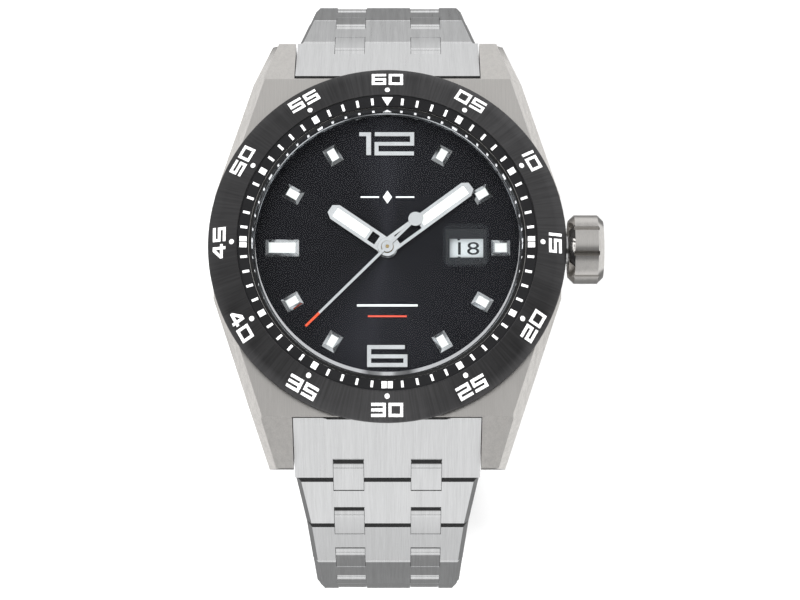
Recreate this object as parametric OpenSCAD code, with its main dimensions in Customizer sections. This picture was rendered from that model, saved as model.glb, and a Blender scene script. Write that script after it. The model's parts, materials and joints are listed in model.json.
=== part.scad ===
// Diver's wristwatch on a steel link bracelet, closed as it is when worn.
// Origin: dial axis, on the flat outer face of the case back. +Z out of the dial, +Y to 12 o'clock.

/* [Case] */
// Distance between the lugs, which is the strap width
lug_gap = 22.3; // [20:0.1:23]
// Half width of the case at 3 and 9 o'clock
case_half_w = 20.6; // [20:0.1:20.9]
// Distance from the dial axis to the end of a lug
lug_reach = 25.9; // [25:0.1:27]
// Height of the flat top of the case above the case back
case_top = 9; // [8.8:0.05:9.05]
// Radius of the screwed case back
back_r = 17.2; // [16.8:0.1:17.5]

/* [Bezel] */
// Outer radius of the turning bezel
bezel_r = 21.2; // [21:0.1:21.4]
// Radius where the sloping face of the bezel starts
slope_r = 17.75; // [17.6:0.05:18.2]
// Height of the inner edge of the sloping face
bezel_top = 12; // [11.9:0.05:12.5]
// Height where the sloping face meets the rim
bezel_rim_top = 10.15; // [9.9:0.05:10.4]

/* [Crystal and dial] */
// Radius of the crystal
crystal_r = 15.95; // [15.9:0.01:16]
// Radius of the part of the dial that can be seen
dial_seen_r = 15.2; // [15:0.1:15.5]
// Height of the face of the dial
dial_top = 7.5; // [7.45:0.05:7.6]
// Distance of the hour markers from the dial axis
marker_r = 13; // [12.6:0.1:13.4]

/* [Hands] */
// Length of the hour hand
hour_len = 8.3; // [7:0.1:9.5]
// Length of the minute hand
minute_len = 12.4; // [11:0.1:13.4]
// Length of the seconds hand
seconds_len = 13.6; // [12:0.1:14.6]
// Time shown by the hands, in minutes after 12
time_shown = 608.92; // [0:0.01:719]
// Seconds shown by the seconds hand
seconds_shown = 37.53; // [0:0.01:60]

/* [Crown] */
// Outer radius of the crown
crown_r = 4.1; // [3.6:0.1:4.3]
// Length of the crown along its stem
crown_len = 4.15; // [3.6:0.05:4.6]
// Number of lobes round the crown
crown_lobes = 8; // [6:1:12]

/* [Bracelet] */
// Distance between the hinge pins of a link
pitch = 8.8; // [8.4:0.1:9.2]
// Thickness of a link
link_t = 3; // [2.8:0.1:3.2]
// Gap between neighbouring links when they lie flat
link_gap = 0.25; // [0.2:0.05:0.4]
// Width of the last links, at the clasp
narrow_w = 17.5; // [17:0.1:18.5]
// Distance from the middle of the strap to the near side of a connector
knuckle_in = 2.85; // [2.6:0.05:3]
// Width of a connector
knuckle_w = 3.6; // [3.2:0.1:3.8]

/* [Hidden] */
$fn = 96;
links = 7;
clear = 0.05;
// Pressed pins stand this much clear of their holes, so that every piece stays a solid of its own
press = 0.02;
TITANIUM = "#a8a39d";
STEEL = "#b9bcc0";
POLISHED = "#d8dadd";
GUNMETAL = "#3c3d40";
BLACK = "#141416";
BRASS = "#c0a468";
LUME = "#eef0ea";
RUBBER = "#222222";

// --- case
crease_y = 20.3;
case_floor = 1.2;
lug_tip_z = 4.2;
flank_slope = 0.333;
crease_half_w = 15.9;
flank_y = crease_y - (case_half_w - crease_half_w) / flank_slope;
edge_bevel = 1.15;
tip_cut = 1.1;
wall_y = 20.4;
neck_r = bezel_r - 4;
neck_top = 11.2;
seat_r = 16.3;
cavity_r = 16;
crystal_low = 9.4;
crystal_top = 12.1;
bezel_low = 9.2;
ring_low = 11.3;

// --- crown
crown_z = 6.6;
crown_x = 21.5;
tube_r = 1.7;
stem_r = 0.45;

// --- movement levels, from the case back up
rotor_z = 2.35;
bridge_z = 3.5;
bridge_t = 0.7;
wheels_z = bridge_z + bridge_t;
plate_z = 5.9;
plate_t = 0.5;
movement_r = 13;
end_play = 0.03;
arbor_r = 0.2;
barrel_at = 150;
third_at = 30;
escape_at = 330;
balance_at = 270;

// --- hands, from the dial up
hour_z = 7.9;
minute_z = 8.28;
seconds_z = 8.66;
hand_t = 0.2;
pipe_r = 0.7;

// --- bracelet: slope of each link below the horizontal in the closed loop
end_slope = 52;
curl = 0.1333;
half_t = link_t / 2;
pin_back = half_t;
plate_start = pin_back + link_gap;
plate_len = pitch - link_gap;
near_notch = 2.25;
far_notch = pin_back + half_t + 0.25;
pin_r = 0.5;
hole_r = pin_r + press;
end_edge = [26.74, 1.2];
spring_bar = [23, 3.9];
bar_r = 0.6;

// ---------------------------------------------------------------- bracelet geometry

// Slope of link i below the horizontal; link 0 is the end link and the clasp cover comes after the last
function slope(i) = end_slope + (180 - end_slope) * (curl * i + (1 - curl) / 8 * i * i) / 8;
function down(a) = [cos(a), -sin(a)];
function out(a) = [sin(a), cos(a)];
// Hinge pin i of the half bracelet on the +Y side, as [y, z]
function pin_at(i) = i == 1
    ? end_edge - pin_back * down(end_slope) - half_t * out(end_slope)
    : pin_at(i - 1) + pitch * down(slope(i - 1));
// Width of the strap after i links
function strap_w(i) = narrow_w + (22 - narrow_w) * pow(0.5, i);

// Puts a shape drawn in a link's frame (x across, y along the strap, z outward) at hinge pin i
module on_chain(i, angle) {
    at = pin_at(i);
    translate([0, at[0], at[1]]) rotate([-angle, 0, 0]) children();
}

// The half bracelet at 6 o'clock is the mirror image of the one at 12
module half(side) {
    if (side == "12") children();
    else mirror([0, 1, 0]) children();
}

module cross_pin(r, len, y, z) {
    translate([-len / 2, y, z]) rotate([0, 90, 0]) cylinder(r = r, h = len);
}

module knuckle_gaps(from, len, extra) {
    for (s = [-1, 1])
        translate([s * (knuckle_in + knuckle_w / 2), from + len / 2, 0])
            cube([knuckle_w + 2 * extra, len, 2 * link_t], center = true);
}

// Side view of a plate: chamfered ends, deeper on the wrist side so that the links can curl
module plate_profile(from, len, t_low, t_high) {
    top_cut = 0.55;
    far_cut = 0.15;
    low_cut = 0.9;
    rotate([90, 0, 90]) linear_extrude(40, center = true) polygon([
        [from, -t_low + low_cut], [from + low_cut, -t_low],
        [from + len - low_cut, -t_low], [from + len, -t_low + low_cut],
        [from + len, t_high - far_cut], [from + len - far_cut, t_high],
        [from + top_cut, t_high], [from, t_high - top_cut]
    ]);
}

// Cuts the bevel along both outer edges of a plate that narrows from w0 to w1
module side_bevels(from, len, w0, w1, top) {
    bevel = 0.6;
    turn = atan((w0 - w1) / 2 / len);
    for (s = [-1, 1])
        translate([s * w0 / 2, from, top])
            rotate([0, 0, s * turn])
                translate([0, len / 2, 0])
                    rotate([0, 45, 0]) cube([bevel * sqrt(2), 2 * len, bevel * sqrt(2)], center = true);
}

module plate(w0, w1) {
    difference() {
        intersection() {
            plate_profile(plate_start, plate_len, half_t, half_t);
            translate([0, 0, -link_t]) linear_extrude(2 * link_t) polygon([
                [-w0 / 2, plate_start], [w0 / 2, plate_start],
                [w1 / 2, plate_start + plate_len], [-w1 / 2, plate_start + plate_len]
            ]);
        }
        knuckle_gaps(plate_start - 1, near_notch + 1, clear);
        knuckle_gaps(pitch + pin_back - far_notch, far_notch + 1, clear);
        side_bevels(plate_start, plate_len, w0, w1, half_t);
        cross_pin(hole_r, 40, pitch, 0);
        cross_pin(hole_r, 40, plate_start + near_notch / 2, 0);
    }
}

// The pair of connectors, pressed to the link on one pin and turning on the other
module knuckles() {
    far_end = plate_start + near_notch - 0.08;
    edge = 0.12;
    difference() {
        for (s = [-1, 1])
            translate([s * (knuckle_in + knuckle_w / 2), 0, 0])
                rotate([90, 0, 90]) linear_extrude(knuckle_w, center = true) union() {
                    circle(half_t);
                    polygon([
                        [0, -half_t], [far_end, -half_t], [far_end, half_t - edge],
                        [far_end - edge, half_t], [0, half_t]
                    ]);
                }
        cross_pin(pin_r + clear, 40, 0, 0);
        cross_pin(hole_r, 40, plate_start + near_notch / 2, 0);
    }
}

// Link i: plate, two connectors, the pressed pin and the hinge pin for the next link
module link(side, i) {
    w0 = strap_w(i - 1);
    w1 = strap_w(i);
    color(STEEL) half(side) on_chain(i, slope(i)) {
        plate(w0, w1);
        knuckles();
        cross_pin(pin_r, w0 - 2.4, plate_start + near_notch / 2, 0);
        cross_pin(pin_r, w1 - 2, pitch, 0);
    }
}

// End link: fixed between the lugs on its spring bar, with the first hinge pin
module end_link(side) {
    back_y = wall_y + 0.1;
    low = end_edge - link_t * out(end_slope);
    top_z = end_edge[1] + (end_edge[0] - back_y) * tan(end_slope);
    low_z = low[1] + (low[0] - back_y) * tan(end_slope);
    pin = pin_at(1);
    cut = 0.8;
    low_run = low - cut * down(end_slope);
    low_rise = low + cut * out(end_slope);
    color(STEEL) half(side) {
        difference() {
            rotate([90, 0, 90]) linear_extrude(lug_gap - 0.2, center = true) polygon([
                [back_y, top_z - 0.3], [back_y + 0.2, top_z - 0.25], end_edge, low_rise, low_run,
                [back_y, low_z]
            ]);
            translate([0, pin[0], pin[1]]) rotate([-end_slope, 0, 0])
                knuckle_gaps(pin_back - far_notch, far_notch + 1, clear);
            cross_pin(bar_r + press, 40, spring_bar[0], spring_bar[1]);
            cross_pin(hole_r, 40, pin[0], pin[1]);
        }
        cross_pin(pin_r, 20, pin[0], pin[1]);
    }
}

// Spring bars: a barrel between the lugs and a thin nose into each lug
module spring_bars() {
    nose = 1.6;
    color(STEEL) for (side = ["12", "6"]) half(side) union() {
        cross_pin(bar_r, lug_gap - 0.2, spring_bar[0], spring_bar[1]);
        cross_pin(bar_r / 2 - press, lug_gap + 2 * nose, spring_bar[0], spring_bar[1]);
    }
}

// ---------------------------------------------------------------- clasp

cover_len = 2 * pin_at(links + 1)[0];
cover_w = narrow_w + 1;
channel_w = 14.6;
cover_out = 1.9;
cover_in = 2;
cover_stop = cover_len - 2.4;
leaf_t = 0.7;
outer_leaf = -0.5;
inner_leaf = -1.95;
barrel_r = 0.7;
blade_pin_r = 0.35;
outer_hinge = [cover_len - 4.4, -0.45];
inner_hinge = [6.4, -0.85];
button_w = 1.6;
button_proud = 0.7;
button_z = -0.6;

module at_clasp() {
    on_chain(links + 1, 180) children();
}

// Cover: a channel with bevelled outer edges that the blades fold into
module clasp_cover() {
    floor_z = 0.3;
    color(STEEL) at_clasp() {
        difference() {
            intersection() {
                plate_profile(plate_start, cover_stop - plate_start, cover_in, cover_out);
                translate([-cover_w / 2, 0, -link_t]) cube([cover_w, cover_len, 2 * link_t]);
            }
            side_bevels(plate_start, cover_len, cover_w, cover_w, cover_out);
            translate([-channel_w / 2, plate_start + 3, -link_t])
                cube([channel_w, cover_len, link_t + floor_z]);
            knuckle_gaps(plate_start - 1, near_notch + 1, clear);
            cross_pin(hole_r, 40, plate_start + near_notch / 2, 0);
            cross_pin(blade_pin_r + press, 40, outer_hinge[0], outer_hinge[1]);
            for (s = [-1, 1]) translate([s * cover_w / 2, cover_len / 2, button_z])
                cube([2.9, 6.4, 1.7], center = true);
        }
        knuckles();
        cross_pin(pin_r, cover_w - 2.4, plate_start + near_notch / 2, 0);
        cross_pin(blade_pin_r, cover_w - 2, outer_hinge[0], outer_hinge[1]);
    }
}

module leaf(from, to, z) {
    slot = 5;
    difference() {
        translate([-channel_w / 2 + 0.3, from, z]) cube([channel_w - 0.6, to - from, leaf_t]);
        translate([-slot / 2, from + 6, z - 1]) cube([slot, to - from - 12, 3]);
    }
}

module leaf_hinge(at, from, to) {
    for (s = [-1, 1]) translate([s * (from + to) / 2, at[0], at[1]])
        rotate([0, 90, 0]) cylinder(r = barrel_r, h = to - from, center = true);
}

// Blade hinged to the cover at its free end
module clasp_outer_blade() {
    arm_w = 2.4;
    arm_x = 4.5;
    color(POLISHED) at_clasp() {
        difference() {
            union() {
                leaf(inner_hinge[0] + 1.05, outer_hinge[0], outer_leaf);
                leaf_hinge(outer_hinge, 2, channel_w / 2 - 0.3);
                for (s = [-1, 1]) translate([s * arm_x - arm_w / 2, inner_hinge[0] - 0.3, outer_leaf])
                    cube([arm_w, 2, leaf_t]);
                leaf_hinge(inner_hinge, arm_x - arm_w / 2, arm_x + arm_w / 2);
            }
            cross_pin(blade_pin_r + clear, 40, outer_hinge[0], outer_hinge[1]);
            cross_pin(blade_pin_r + press, 40, inner_hinge[0], inner_hinge[1]);
        }
        cross_pin(blade_pin_r, channel_w - 1, inner_hinge[0], inner_hinge[1]);
    }
}

// Blade that joins the 6 o'clock half; its strap pivot is the one left open
module clasp_inner_blade() {
    arm = [5.8, 7];
    color(POLISHED) at_clasp() difference() {
        union() {
            leaf(inner_hinge[0] + 1.4, cover_len - 2.5, inner_leaf);
            for (s = [-1, 1]) translate([s * (arm[0] + arm[1]) / 2 - 0.6, inner_hinge[0] - 0.2, inner_leaf])
                cube([arm[1] - arm[0], 3, leaf_t]);
            leaf_hinge(inner_hinge, arm[0], arm[1]);
        }
        cross_pin(blade_pin_r + clear, 40, inner_hinge[0], inner_hinge[1]);
    }
}

// Push button: s is 1 on the side of 3 o'clock and -1 on the side of 9 o'clock
module button(s) {
    color(POLISHED) at_clasp()
        translate([s * (cover_w / 2 + button_proud - button_w / 2), cover_len / 2, button_z])
            difference() {
                cube([button_w, 6.2, 1.5], center = true);
                for (e = [-1, 1]) translate([s * button_w / 2, e * 3.1, 0])
                    rotate([0, 0, 45]) cube([0.6, 0.6, 3], center = true);
            }
}

// ---------------------------------------------------------------- case

// Plan of the case, run on past the lug ends, which the side view cuts off
module outline() {
    past = lug_reach + 1;
    past_half_w = crease_half_w - (past - crease_y) * flank_slope;
    polygon([
        [case_half_w, flank_y], [past_half_w, past], [-past_half_w, past], [-case_half_w, flank_y],
        [-case_half_w, -flank_y], [-past_half_w, -past], [past_half_w, -past], [case_half_w, -flank_y]
    ]);
}

// Side view of the case with its sloping lugs
module side_profile() {
    rotate([90, 0, 90]) linear_extrude(60, center = true) polygon([
        [crease_y, case_top], [lug_reach, lug_tip_z], [lug_reach, case_floor + tip_cut],
        [lug_reach - tip_cut, case_floor], [tip_cut - lug_reach, case_floor], [-lug_reach, case_floor + tip_cut],
        [-lug_reach, lug_tip_z], [-crease_y, case_top]
    ]);
}

// Polished bevel along the flank and the lug, at one corner of the case
module flank_bevel() {
    turn = atan(flank_slope);
    lug_fall = atan((case_top - lug_tip_z) / (lug_reach - crease_y));
    w = edge_bevel * sqrt(2);
    past = 2;
    translate([crease_half_w, crease_y, case_top]) rotate([0, 0, turn]) {
        translate([0, past - 20, 0]) rotate([0, 45, 0]) cube([w, 40, w], center = true);
        rotate([-lug_fall, 0, 0]) translate([0, 6 - past, 0]) rotate([0, 45, 0]) cube([w, 12, w], center = true);
    }
}

module mid_case() {
    guard_groove = 0.55;
    color(TITANIUM) difference() {
        union() {
            difference() {
                intersection() {
                    linear_extrude(2 * case_top) outline();
                    side_profile();
                }
                for (sx = [0, 1]) for (sy = [0, 1]) mirror([sx, 0, 0]) mirror([0, sy, 0]) flank_bevel();
            }
            translate([0, 0, case_top - 1]) cylinder(r = neck_r, h = neck_top - case_top + 1);
        }
        for (s = [-1, 1]) translate([-lug_gap / 2, s > 0 ? wall_y : -wall_y - 10, 0])
            cube([lug_gap, 10, 20]);
        translate([0, 0, -1]) cylinder(r = cavity_r, h = 20);
        translate([0, 0, crystal_low]) cylinder(r = seat_r, h = 20);
        translate([0, 0, case_top - guard_groove]) difference() {
            cylinder(r = 19.2, h = 1);
            cylinder(r = 18, h = 3, center = true);
        }
        for (s = [-1, 1]) cross_pin(bar_r / 2, 26.4, s * spring_bar[0], spring_bar[1]);
        translate([15, 0, crown_z]) rotate([0, 90, 0]) cylinder(r = tube_r, h = 10);
        translate([crown_x - 1.6, 0, crown_z]) rotate([0, 90, 0]) cylinder(r = crown_r + 0.3, h = 10);
    }
}

// Screwed back: a disc with a rim and six slots for the case key
module case_back() {
    slots = 6;
    thread_r = cavity_r - clear;
    color(TITANIUM) difference() {
        rotate_extrude() polygon([
            [0, 0], [12, 0], [12.15, 0.15], [12.3, 0], [back_r - 0.6, 0], [back_r, 0.5], [back_r, case_floor - 0.02],
            [thread_r, case_floor - 0.02], [thread_r, 1.95], [14.4, 1.95], [14.4, 1.4], [0, 1.4]
        ]);
        for (i = [0 : slots - 1]) rotate([0, 0, i * 360 / slots])
            translate([back_r - 1, 0, 0]) cube([2.6, 2, 0.9], center = true);
    }
}

module ring(r_in, r_out, z, h) {
    translate([0, 0, z]) difference() {
        cylinder(r = r_out, h = h);
        translate([0, 0, -1]) cylinder(r = r_in, h = h + 2);
    }
}

module case_back_gasket() {
    color(RUBBER) translate([0, 0, 1.72]) rotate_extrude() translate([14.05, 0, 0]) circle(0.3);
}

// Domed-edge sapphire with a bevel round the top
module crystal() {
    bevel = 0.45;
    color("#dfeef2", 0.3) rotate_extrude() polygon([
        [0, crystal_low + 0.1], [crystal_r - 0.1, crystal_low + 0.1], [crystal_r, crystal_low + 0.2],
        [crystal_r, crystal_top - bevel], [crystal_r - bevel, crystal_top], [0, crystal_top]
    ]);
}

// Magnifier bonded under the crystal over the date
module date_magnifier() {
    mid = 9.3;
    size = [5.5, 5.2];
    thick = 0.5;
    low = crystal_low - 0.45;
    color("#dfeef2", 0.3) intersection() {
        translate([mid - size[0] / 2, -size[1] / 2, low]) cube([size[0], size[1], thick]);
        translate([mid, 0, low - 1]) cylinder(r = 3.3, h = thick + 2);
    }
}

module crystal_gasket() {
    color(BLACK) ring(crystal_r, seat_r, crystal_low, 1.75);
}

// Sloping polished ring between the dial and the crystal
module rehaut_ring() {
    color(POLISHED) rotate_extrude() polygon([
        [dial_seen_r, dial_top], [cavity_r - clear, dial_top],
        [cavity_r - clear, crystal_low - 0.05], [crystal_r - 0.25, crystal_low - 0.05]
    ]);
}

// Dial: a disc with a hole for the hands and a window for the date
module dial() {
    window = [4.1, 2.7];
    color(BLACK) difference() {
        translate([0, 0, dial_top - 0.4]) cylinder(r = cavity_r - clear, h = 0.4);
        translate([0, 0, dial_top - 1]) cylinder(r = 1.2, h = 2);
        translate([9.4, 0, dial_top]) cube([window[0], window[1], 2], center = true);
    }
}

// Faceted block: a frustum with four sloping sides, standing on the dial
module facet_block(w, l, h) {
    slope_in = h * 0.9;
    intersection() {
        rotate([90, 0, 0]) linear_extrude(l, center = true) polygon([
            [-w / 2, 0], [w / 2, 0], [w / 2, 0.12], [w / 2 - slope_in, h], [slope_in - w / 2, h], [-w / 2, 0.12]
        ]);
        rotate([90, 0, 90]) linear_extrude(w, center = true) polygon([
            [-l / 2, 0], [l / 2, 0], [l / 2, 0.12], [l / 2 - slope_in, h], [slope_in - l / 2, h], [-l / 2, 0.12]
        ]);
    }
}

// Marker frame with a well for the luminous fill
module marker(w, l) {
    h = 0.42;
    wall = 0.42;
    difference() {
        facet_block(w, l, h);
        translate([0, 0, 0.28 + 1]) cube([w - 2 * wall, l - 2 * wall, 2], center = true);
    }
}

module hour_markers() {
    square_w = 1.75;
    square_l = 2.2;
    bar_9 = [10.5, 14.5];
    bar_3 = [12.35, 14.6];
    color(POLISHED) {
        for (h = [1, 2, 4, 5, 7, 8, 10, 11]) rotate([0, 0, -30 * h])
            translate([0, marker_r, dial_top]) marker(square_w, square_l);
        rotate([0, 0, 90]) translate([0, (bar_9[0] + bar_9[1]) / 2, dial_top])
            marker(2.05, bar_9[1] - bar_9[0]);
        rotate([0, 0, -90]) translate([0, (bar_3[0] + bar_3[1]) / 2, dial_top])
            marker(1.9, bar_3[1] - bar_3[0]);
    }
}

// One stroke of an applied numeral, from one corner to the other
module stroke(x0, y0, x1, y1) {
    translate([min(x0, x1), min(y0, y1)]) square([abs(x1 - x0), abs(y1 - y0)]);
}

// Applied 12 and 6 in a wide square-cornered style
module dial_numerals() {
    s = 0.52;
    h = 2.85;
    tall = 0.4;
    y12 = 11.2;
    y6 = -14.35;
    color(POLISHED) translate([0, 0, dial_top]) linear_extrude(tall) {
        translate([0, y12]) union() {
            stroke(-2.55, 0, -1.95, h);
            stroke(-3.4, h - s, -1.95, h);
        }
        translate([0, y12]) union() {
            stroke(-1.55, h - s, 3.2, h);
            stroke(3.2 - s, h / 2 - s / 2, 3.2, h);
            stroke(-1.55, h / 2 - s / 2, 3.2, h / 2 + s / 2);
            stroke(-1.55, 0, s - 1.55, h / 2);
            stroke(-1.55, 0, 3.2, s);
        }
        translate([0, y6]) union() {
            stroke(-2.4, 0, 2.4, s);
            stroke(-2.4, 0, s - 2.4, 2.65);
            stroke(-2.4, 2.65 - s, 2.1, 2.65);
            stroke(2.4 - s, 0, 2.4, 1.55);
            stroke(-2.4, 1.55 - s, 2.4, 1.55);
        }
    }
}

// ---------------------------------------------------------------- bezel

module bezel() {
    color(GUNMETAL) rotate_extrude() polygon([
        [neck_r + clear, bezel_low], [bezel_r - 0.3, bezel_low], [bezel_r, bezel_low + 0.3],
        [bezel_r, bezel_rim_top - 0.22], [bezel_r - 0.18, bezel_rim_top], [slope_r, bezel_top],
        [slope_r - 0.08, bezel_top - 0.06], [slope_r - 0.08, ring_low], [neck_r + clear, ring_low]
    ]);
}

module minute_ring() {
    color(BLACK) rotate_extrude() polygon([
        [seat_r + clear, ring_low], [slope_r - 0.08, ring_low], [slope_r - 0.08, ring_low + 0.4],
        [seat_r + clear, ring_low + 0.25]
    ]);
}

// Flat spring in its groove under the bezel, which makes the clicks
module bezel_click_spring() {
    groove_floor = case_top - 0.55;
    color(STEEL) difference() {
        ring(18.3, 18.9, groove_floor, 0.3);
        translate([0, 19, groove_floor]) cube([5, 4, 2], center = true);
    }
}

// ---------------------------------------------------------------- hands

module turned(angle) {
    rotate([0, 0, -angle]) children();
}

hour_angle = time_shown / 2;
minute_angle = 6 * (time_shown % 60);
seconds_angle = 6 * seconds_shown;

// Flat baton with a blunt point and a ridge of metal round its openings
module baton(w, len, hub_r, open_from, open_to, fill_from, fill_to) {
    tip = 0.75;
    rim = 0.42;
    difference() {
        union() {
            circle(hub_r);
            polygon([[-w / 2, 0], [w / 2, 0], [w / 2, len - tip], [w / 4, len], [-w / 4, len], [-w / 2, len - tip]]);
        }
        translate([rim - w / 2, open_from]) square([w - 2 * rim, open_to - open_from]);
        translate([rim - w / 2, fill_from]) square([w - 2 * rim, fill_to - fill_from]);
    }
}

module hour_hand() {
    color(POLISHED) turned(hour_angle) difference() {
        union() {
            translate([0, 0, hour_z]) linear_extrude(hand_t)
                baton(2.05, hour_len, 1.25, 1.5, 2.5, 2.85, hour_len - 0.75);
            translate([0, 0, plate_z + plate_t + 0.1]) cylinder(r = 1.05, h = hour_z - plate_z - plate_t);
        }
        cylinder(r = pipe_r + clear, h = 20);
    }
}

module hand_fill(w, from, to, z) {
    rim = 0.42;
    translate([rim - w / 2, from, z]) cube([w - 2 * rim, to - from, hand_t + 0.02]);
}

module hour_hand_lume() {
    color(LUME) turned(hour_angle) hand_fill(2.05, 2.85, hour_len - 0.75, hour_z);
}

module minute_hand() {
    color(POLISHED) turned(minute_angle) difference() {
        translate([0, 0, minute_z]) linear_extrude(hand_t)
            baton(2, minute_len, 1.15, 1.45, 4.6, 5, minute_len - 0.75);
        cylinder(r = pipe_r + press, h = 20);
    }
}

module minute_hand_lume() {
    color(LUME) turned(minute_angle) hand_fill(2, 5, minute_len - 0.75, minute_z);
}

module seconds_hand() {
    balance_y = -4.7;
    color(POLISHED) turned(seconds_angle) translate([0, 0, seconds_z]) linear_extrude(0.14) difference() {
        union() {
            circle(0.675);
            polygon([[-0.19, -5.6], [0.19, -5.6], [0.14, seconds_len], [-0.14, seconds_len]]);
            translate([0, balance_y]) circle(0.85);
        }
        circle(arbor_r + press);
    }
}

// ---------------------------------------------------------------- movement

module polar(angle, r) {
    rotate([0, 0, angle]) translate([r, 0, 0]) children();
}

// Spoked wheel with square-cut teeth
module wheel(r, teeth, spokes, h) {
    tooth = 0.22;
    hub = 0.7;
    linear_extrude(h) difference() {
        union() {
            difference() {
                circle(r - tooth);
                circle(r - tooth - 0.5);
            }
            for (i = [0 : spokes - 1]) rotate(i * 360 / spokes)
                translate([0, -0.2]) square([r - tooth - 0.2, 0.4]);
            circle(hub);
            for (i = [0 : teeth - 1]) rotate(i * 360 / teeth)
                translate([r - tooth - 0.1, -PI * r / teeth / 2]) square([tooth + 0.1, PI * r / teeth]);
        }
        circle(arbor_r);
    }
}

module arbor(low, high) {
    translate([0, 0, low]) cylinder(r = arbor_r, h = high - low);
}

module between_plates() {
    arbor(wheels_z + end_play, plate_z - end_play);
}

// Plastic ring that holds the movement in the case
module movement_holder() {
    color("#c8c4b8") difference() {
        ring(movement_r + clear, cavity_r - clear, bridge_z, dial_top - 0.4 - bridge_z);
        translate([14, 0, crown_z]) rotate([0, 90, 0]) cylinder(r = stem_r + 0.3, h = 8, center = true);
    }
}

module main_plate() {
    color(STEEL) difference() {
        translate([0, 0, plate_z]) cylinder(r = movement_r, h = plate_t);
        cylinder(r = pipe_r + clear, h = 20);
        polar(balance_at, 8.2) cylinder(r = 1, h = 20);
    }
}

// Bridge over the barrel and the train, on two pillars
module train_bridge() {
    color(STEEL) difference() {
        union() {
            translate([0, 0, bridge_z]) linear_extrude(bridge_t) difference() {
                circle(movement_r - 0.2);
                translate([-15, -19]) square([30, 15.2]);
            }
            for (a = [80, 200, 355]) polar(a, 11.6) translate([0, 0, bridge_z])
                cylinder(r = 0.8, h = plate_z - bridge_z);
        }
        translate([0, 0, bridge_z - 1]) cylinder(r = arbor_r + clear, h = 3);
    }
}

module balance_cock() {
    color(STEEL) union() {
        translate([0, 0, bridge_z]) linear_extrude(bridge_t) difference() {
            intersection() {
                circle(movement_r - 0.2);
                translate([-2.2, -14]) square([4.4, 9.8]);
            }
            translate([0, -8.4]) circle(0.35);
        }
        translate([-2, -12.65, bridge_z]) cube([4, 0.6, plate_z - bridge_z]);
    }
}

module mainspring_barrel() {
    color(BRASS) polar(barrel_at, 8.2) {
        translate([0, 0, wheels_z + 0.1]) difference() {
            cylinder(r = 3.7, h = 0.85);
            translate([0, 0, -1]) cylinder(r = arbor_r, h = 4);
        }
        translate([0, 0, wheels_z + 0.5]) difference() {
            wheel(4.1, 60, 3, 0.3);
            translate([0, 0, -1]) cylinder(r = 3.7, h = 3);
        }
        between_plates();
    }
}

module center_wheel() {
    color(BRASS) difference() {
        union() {
            turned(minute_angle) translate([0, 0, 5.45]) wheel(4.4, 64, 4, 0.16);
            translate([0, 0, 5.4]) cylinder(r = pipe_r, h = minute_z + hand_t - 5.4);
        }
        cylinder(r = arbor_r + clear, h = 20);
    }
}

module third_wheel() {
    color(BRASS) polar(third_at, 7.4) {
        translate([0, 0, 4.45]) wheel(3.2, 56, 4, 0.16);
        between_plates();
    }
}

// Fourth wheel: its long arbor goes up the middle and carries the seconds hand
module fourth_wheel() {
    color(BRASS) {
        turned(seconds_angle) translate([0, 0, 5.05]) wheel(3.3, 60, 4, 0.14);
        arbor(bridge_z, seconds_z + 0.14);
    }
}

module escape_wheel() {
    color(BRASS) polar(escape_at, 6.9) {
        translate([0, 0, 5.4]) wheel(1.8, 15, 5, 0.14);
        between_plates();
    }
}

// Fork with two pallets and a lever towards the balance
module pallet_fork() {
    color(STEEL) rotate([0, 0, 300]) translate([7.6, 0, 0]) {
        translate([0, 0, 5.1]) linear_extrude(0.16) difference() {
            union() {
                circle(0.5);
                translate([-0.18, -2.2]) square([0.36, 2.4]);
                translate([-1.3, -0.16]) square([2.6, 0.32]);
            }
            circle(arbor_r);
        }
        between_plates();
    }
}

module balance_wheel() {
    rim_r = 3.7;
    color(BRASS) polar(balance_at, 8.2) {
        translate([0, 0, 4.75]) linear_extrude(0.3) difference() {
            union() {
                difference() {
                    circle(rim_r);
                    circle(rim_r - 0.5);
                }
                for (i = [0 : 2]) rotate(i * 120) translate([0, -0.2]) square([rim_r - 0.2, 0.4]);
                circle(0.6);
            }
            circle(arbor_r);
        }
        between_plates();
    }
}

// Hairspring as rings joined by a radial web, standing for the flat spiral
module hairspring() {
    turns = 5;
    step = 0.32;
    color("#6f7f99") polar(balance_at, 8.2) translate([0, 0, 4.4]) linear_extrude(0.12) difference() {
        union() {
            for (i = [1 : turns]) difference() {
                circle(0.45 + i * step);
                circle(0.45 + i * step - 0.07);
            }
            translate([0.3, -0.04]) square([turns * step, 0.08]);
            circle(0.45);
        }
        circle(arbor_r);
    }
}

// Winding rotor: a thin half disc with a heavy rim
module rotor() {
    color(STEEL) rotate([0, 0, 20]) difference() {
        union() {
            translate([0, 0, rotor_z + 0.4]) rotate_extrude(angle = 180) polygon([
                [1.6, 0], [12.2, 0], [12.2, 0.3], [1.6, 0.3]
            ]);
            translate([0, 0, rotor_z]) rotate_extrude(angle = 180) polygon([
                [10.2, 0], [12.6, 0], [12.6, 0.85], [10.2, 0.85]
            ]);
            ring(1.6, 2.6, rotor_z + 0.2, 0.6);
        }
        translate([0, 0, rotor_z - 1]) cylinder(r = 1.5 + clear, h = 4);
    }
}

module rotor_bearing() {
    color(STEEL) difference() {
        union() {
            translate([0, 0, rotor_z]) cylinder(r = 1.5, h = bridge_z - rotor_z);
            translate([0, 0, rotor_z]) cylinder(r = 1.9, h = 0.15);
        }
        translate([0, 0, bridge_z - 0.6]) cylinder(r = arbor_r + clear, h = 2);
    }
}

module date_disc() {
    color("white") ring(6.9, 11.8, plate_z + plate_t + 0.15, 0.3);
}

// ---------------------------------------------------------------- crown

module along_x(x) {
    translate([x, 0, crown_z]) rotate([0, 90, 0]) children();
}

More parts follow.
